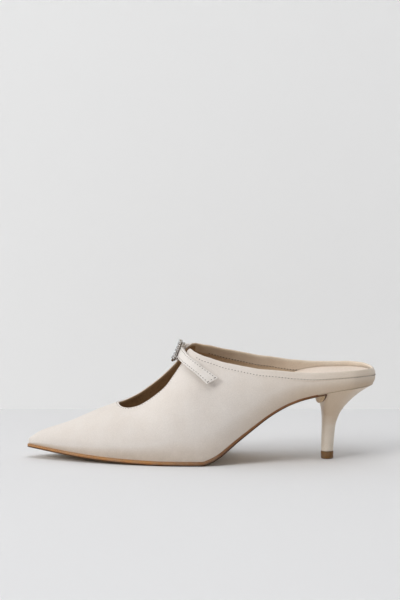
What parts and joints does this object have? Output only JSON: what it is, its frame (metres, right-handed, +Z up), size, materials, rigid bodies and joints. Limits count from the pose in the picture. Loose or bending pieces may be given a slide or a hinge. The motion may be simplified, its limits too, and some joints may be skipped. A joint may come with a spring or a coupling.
{
  "type": "heeled slipper",
  "caption": "Backless pointed slipper with a low waisted heel, a teardrop throat and a narrow buckled strap over the instep.",
  "frame": {"origin": "on the floor, under the middle of the shoe's length and width", "axes": "+X to the heel, -X to the toe, -Y to the outer (lateral) side of the foot, +Z up"},
  "size_m": [0.2691, 0.0808, 0.0919],
  "materials": {
    "suede": "fine napped suede, off-white to beige",
    "strap_suede": "fine napped suede, paler than the upper",
    "insole_leather": "smooth pale tan leather",
    "sole_leather": "waxed natural tan sole leather",
    "heel_cover": "smooth satin taupe leather",
    "top_piece": "hard brown rubber",
    "buckle_metal": "polished silver plate",
    "stone": "clear cut stones"
  },
  "bodies": {
    "root": {"buckle_bar": "buckle_metal", "buckle_frame": "buckle_metal", "buckle_tab": "strap_suede", "heel": "heel_cover", "insole": "insole_leather", "outsole": "sole_leather", "stone_01": "stone", "stone_02": "stone", "stone_03": "stone", "stone_04": "stone", "stone_05": "stone", "stone_06": "stone", "stone_07": "stone", "stone_08": "stone", "stone_09": "stone", "stone_10": "stone", "stone_11": "stone", "stone_12": "stone", "stone_13": "stone", "stone_14": "stone", "stone_15": "stone", "stone_16": "stone", "stone_17": "stone", "stone_18": "stone", "stone_19": "stone", "stone_20": "stone", "strap": "strap_suede", "top_piece": "top_piece", "upper": "suede"}
  },
  "joints": []
}
